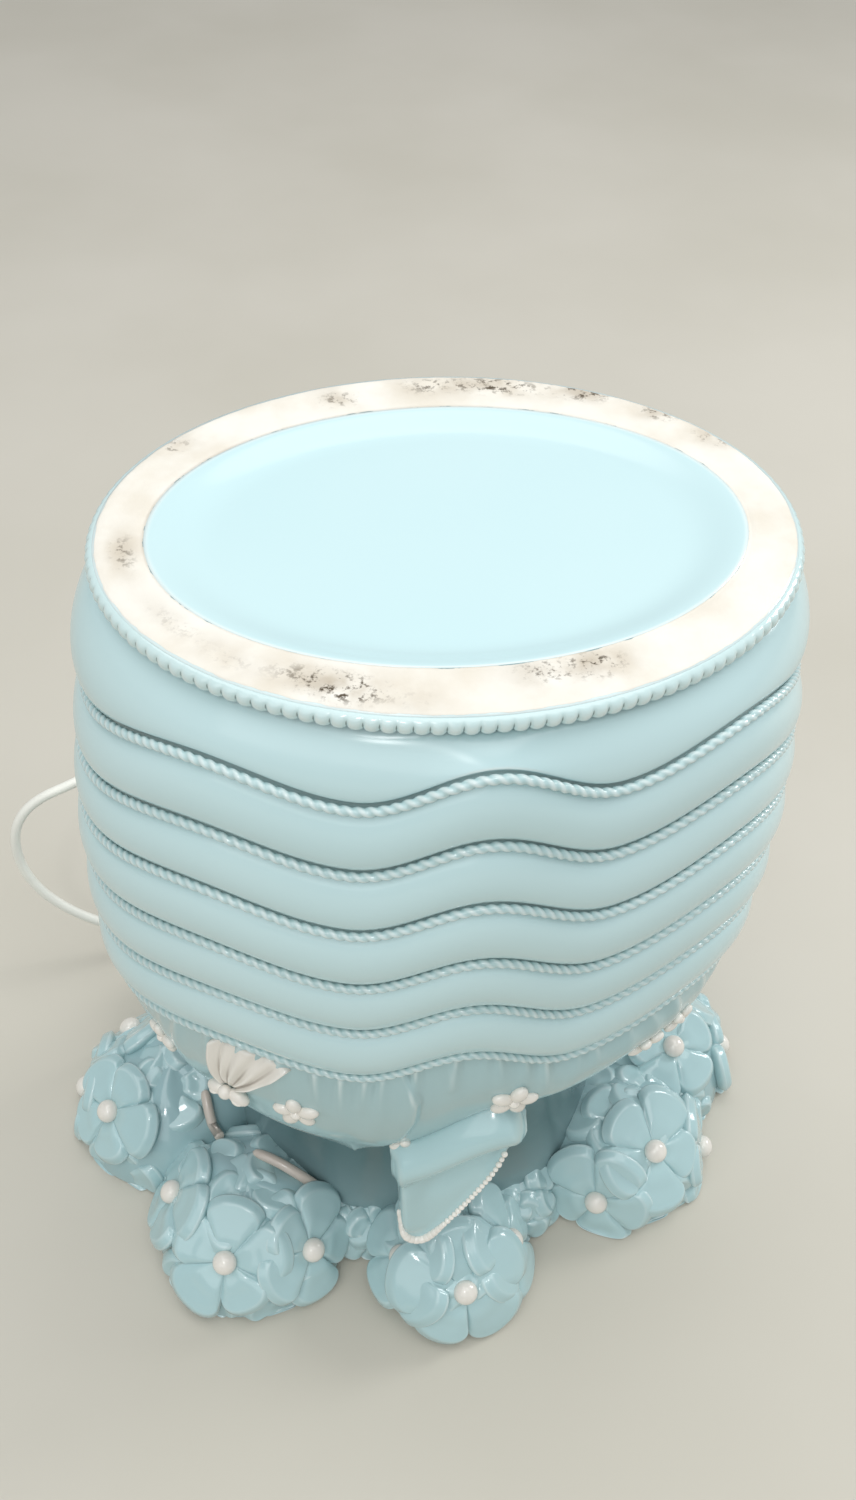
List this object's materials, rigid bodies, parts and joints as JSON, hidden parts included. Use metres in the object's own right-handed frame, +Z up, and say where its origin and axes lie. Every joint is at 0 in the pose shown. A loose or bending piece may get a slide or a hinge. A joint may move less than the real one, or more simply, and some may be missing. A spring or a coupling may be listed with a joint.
{
  "type": "table lamp",
  "caption": "Oval glazed ceramic table lamp with waved bands, rope trims and a draped flower crown, stored upside down on the crown with its flex, inline switch and plug.",
  "frame": {"origin": "on the floor below the middle of the lamp without its flex", "axes": "+Z up, from the flower crown that it stands on to its foot; +Y to the back, where the flex leaves"},
  "size_m": [0.3232, 0.334, 0.33],
  "materials": {
    "glaze_blue": "glossy pale blue glaze",
    "glaze_rope": "glossy pale glaze, whiter on the high places",
    "glaze_shade": "deep blue-grey glaze",
    "glaze_petal": "glossy blue-grey glaze with pale rims",
    "glaze_white": "glossy off-white glaze",
    "glaze_drape": "glossy blue-grey glaze with pale hems",
    "plate_steel": "zinc-plated sheet",
    "brass": "plain brass",
    "holder_black": "moulded black",
    "bulb_metal": "bare",
    "bulb_glass": "frosted",
    "flex_white": "smooth off-white cable sheath",
    "switch_white": "moulded off-white"
  },
  "bodies": {
    "lamp": {"blossom_beads": "glaze_white", "blossoms_back": "glaze_petal", "blossoms_front": "glaze_petal", "blossoms_left": "glaze_petal", "blossoms_left_back": "glaze_petal", "blossoms_left_front": "glaze_petal", "blossoms_right": "glaze_petal", "blossoms_right_back": "glaze_petal", "blossoms_right_front": "glaze_petal", "bouquet_back": "glaze_shade", "bouquet_front": "glaze_shade", "bouquet_left": "glaze_shade", "bouquet_left_back": "glaze_shade", "bouquet_left_front": "glaze_shade", "bouquet_right": "glaze_shade", "bouquet_right_back": "glaze_shade", "bouquet_right_front": "glaze_shade", "bulb_cap": "bulb_metal", "bulb_glass": "bulb_glass", "coil_tie": "flex_white", "drape_flowers": "glaze_white", "drape_skirt": "glaze_drape", "drape_tail": "glaze_drape", "fan_bow": "glaze_white", "flex_coil": "flex_white", "flex_gland": "flex_white", "flex_lead": "flex_white", "flex_link": "flex_white", "flex_tail": "flex_white", "foot_bead_rope": "glaze_rope", "holder_nipple": "brass", "holder_plate": "plate_steel", "inner_lead": "flex_white", "lampholder_shell": "holder_black", "lampholder_sleeve": "brass", "nipple_nut_bottom": "brass", "nipple_nut_top": "brass", "pleated_fan": "glaze_white", "plug_body": "switch_white", "plug_pins": "brass", "switch_base": "switch_white", "switch_cover": "switch_white", "tier_rope_1": "glaze_rope", "tier_rope_2": "glaze_rope", "tier_rope_3": "glaze_rope", "tier_rope_4": "glaze_rope", "tier_rope_5": "glaze_rope", "tier_rope_6": "glaze_rope", "vessel_body": "glaze_blue"},
    "rocker": {"switch_rocker": "switch_white"}
  },
  "joints": [
    {"name": "rocker_tilt", "type": "hinge", "parent": "lamp", "child": "rocker", "pos_m": [0.0317, 0.13315, 0.0134], "axis": [0, -1, 0], "range_deg": [0, 18]}
  ]
}
